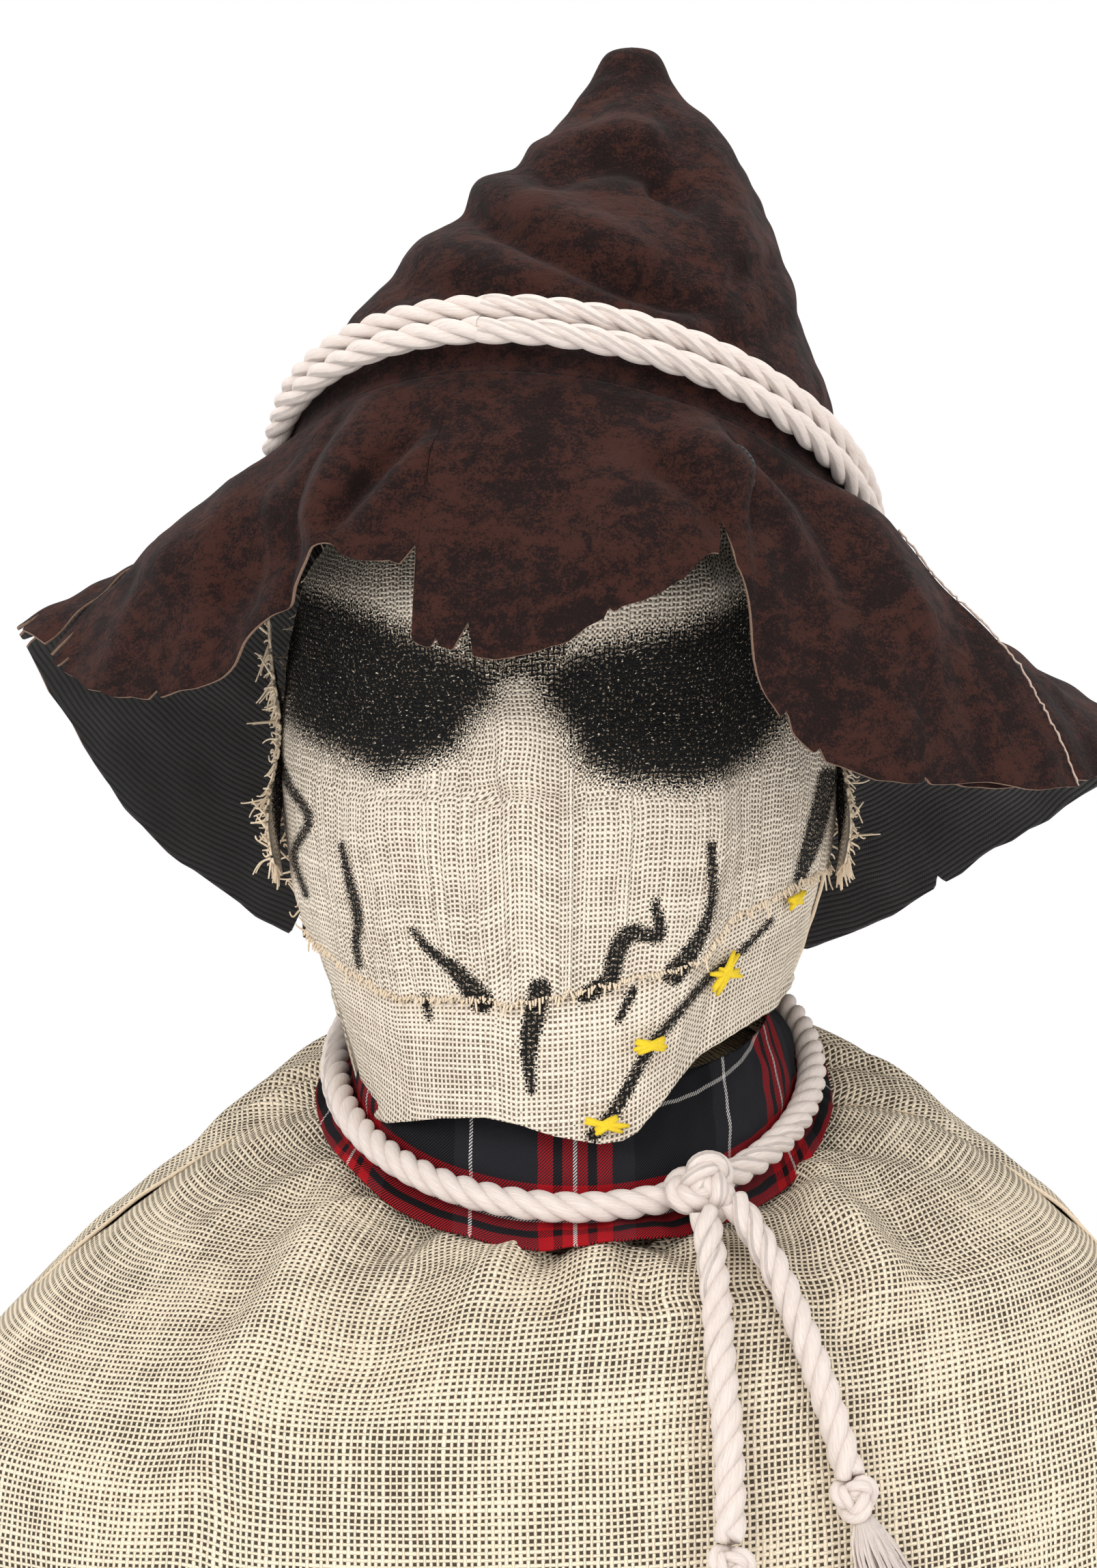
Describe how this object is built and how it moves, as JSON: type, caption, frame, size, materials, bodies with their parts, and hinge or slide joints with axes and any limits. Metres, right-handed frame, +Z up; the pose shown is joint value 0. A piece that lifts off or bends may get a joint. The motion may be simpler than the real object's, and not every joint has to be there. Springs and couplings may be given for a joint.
{
  "type": "scarecrow figure",
  "caption": "Free-standing stuffed scarecrow figure with a burlap head and tunic, a pointed ragged-brim hat with a rope band, a plaid collar and a knotted neck rope.",
  "frame": {"origin": "on the floor, under the middle of the tunic", "axes": "+Z up; the face looks along -Y; +X is to the right of a viewer who faces it"},
  "size_m": [0.536, 0.36, 0.948],
  "materials": {
    "pad_rubber": "matt, lightly dusty",
    "board_wood": "oiled plywood, worn edge",
    "frame_wood": "planed softwood",
    "zinc_steel": "zinc plated, satin",
    "bush_plastic": "moulded, satin",
    "head_foam": "open foam",
    "stuffing": "fibre filling in a plain bag",
    "tunic_burlap": "coarse open plain weave, matt",
    "mask_burlap": "finer cream plain weave, black paint on the yarn tops",
    "hat_suede": "mottled faux suede with a black ribbed backing",
    "hat_lining": "black ribbed knit",
    "cotton_rope": "white three-strand twisted cotton",
    "plaid_twill": "red, black and grey tartan twill"
  },
  "bodies": {
    "stand": {"rubber_pad": "pad_rubber", "base_board": "board_wood", "post_flange": "zinc_steel", "flange_screws": "zinc_steel"},
    "figure": {"post": "frame_wood", "crossbar": "frame_wood", "crossbar_bolt": "zinc_steel", "crossbar_washer": "zinc_steel", "crossbar_wing_nut": "zinc_steel", "neck_peg": "frame_wood", "head_stop_washer": "bush_plastic", "body_sack": "stuffing", "tunic_front": "tunic_burlap", "tunic_back": "tunic_burlap", "plaid_collar": "plaid_twill", "neck_rope": "cotton_rope", "neck_knot": "cotton_rope", "rope_tail_left": "cotton_rope", "rope_tail_right": "cotton_rope", "tail_knot_left": "cotton_rope", "tail_knot_right": "cotton_rope", "tassel_left": "cotton_rope", "tassel_right": "cotton_rope"},
    "head": {"head_bush": "bush_plastic", "head_core": "head_foam", "mask_face": "mask_burlap", "mask_jaw": "mask_burlap", "mask_back": "mask_burlap", "ear_strip_left": "mask_burlap", "ear_strip_right": "mask_burlap"},
    "hat": {"hat_crown": "hat_suede", "hat_brim_front": "hat_suede", "hat_brim_back": "hat_suede", "hat_sweatband": "hat_lining", "hat_stuffing": "stuffing", "hat_band_lower": "cotton_rope", "hat_band_upper": "cotton_rope", "hat_band_knot": "cotton_rope"}
  },
  "joints": [
    {"name": "post_lift", "type": "slide", "parent": "stand", "child": "figure", "axis": [0, 0, 1], "range_m": [0, 0.09]},
    {"name": "head_turn", "type": "hinge", "parent": "figure", "child": "head", "pos_m": [0, 0, 0.6], "axis": [0, 0, 1], "range_deg": [-20, 20]},
    {"name": "hat_lift", "type": "slide", "parent": "head", "child": "hat", "axis": [0, 0, 1], "range_m": [0, 0.18]}
  ]
}
